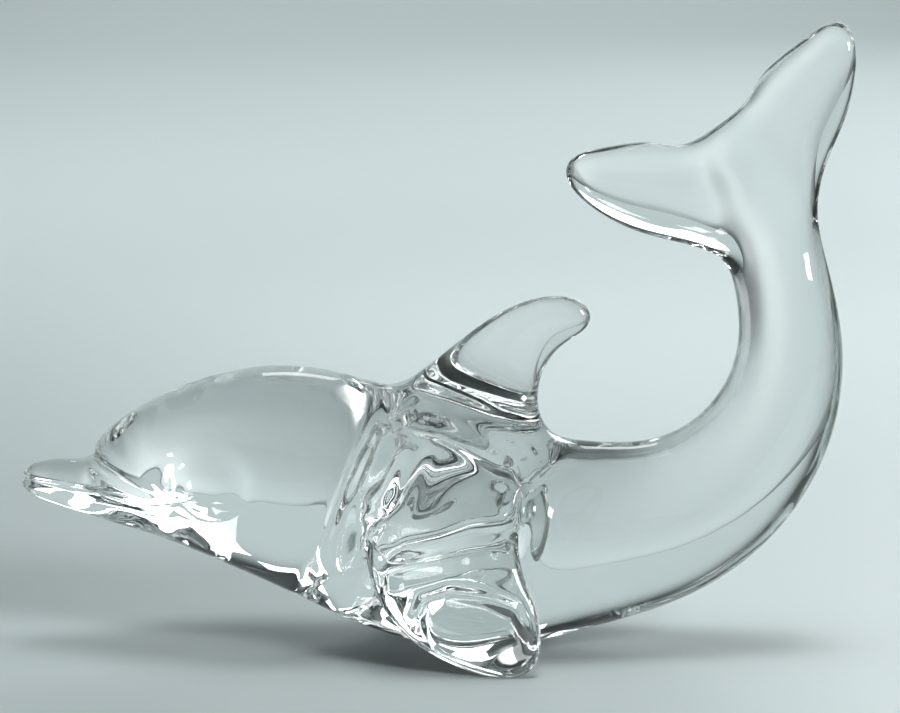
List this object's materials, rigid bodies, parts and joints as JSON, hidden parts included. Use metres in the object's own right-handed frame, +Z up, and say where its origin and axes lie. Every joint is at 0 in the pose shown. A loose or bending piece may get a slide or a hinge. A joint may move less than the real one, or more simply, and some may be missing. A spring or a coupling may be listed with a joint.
{
  "type": "dolphin figurine",
  "caption": "Solid clear-crystal dolphin that rests on its belly and flipper tips, head low, tail curled up behind with spread flukes; a free-standing ornament.",
  "frame": {"origin": "on the flat ground under the belly, near its middle, in the surface the figurine stands on", "axes": "+X from the beak towards the tail, +Y from the dolphin's left side to its right side, +Z up"},
  "size_m": [0.203, 0.0676, 0.1537],
  "materials": {
    "crystal": "clear, fire-polished"
  },
  "bodies": {
    "root": {"dolphin": "crystal"}
  },
  "joints": []
}
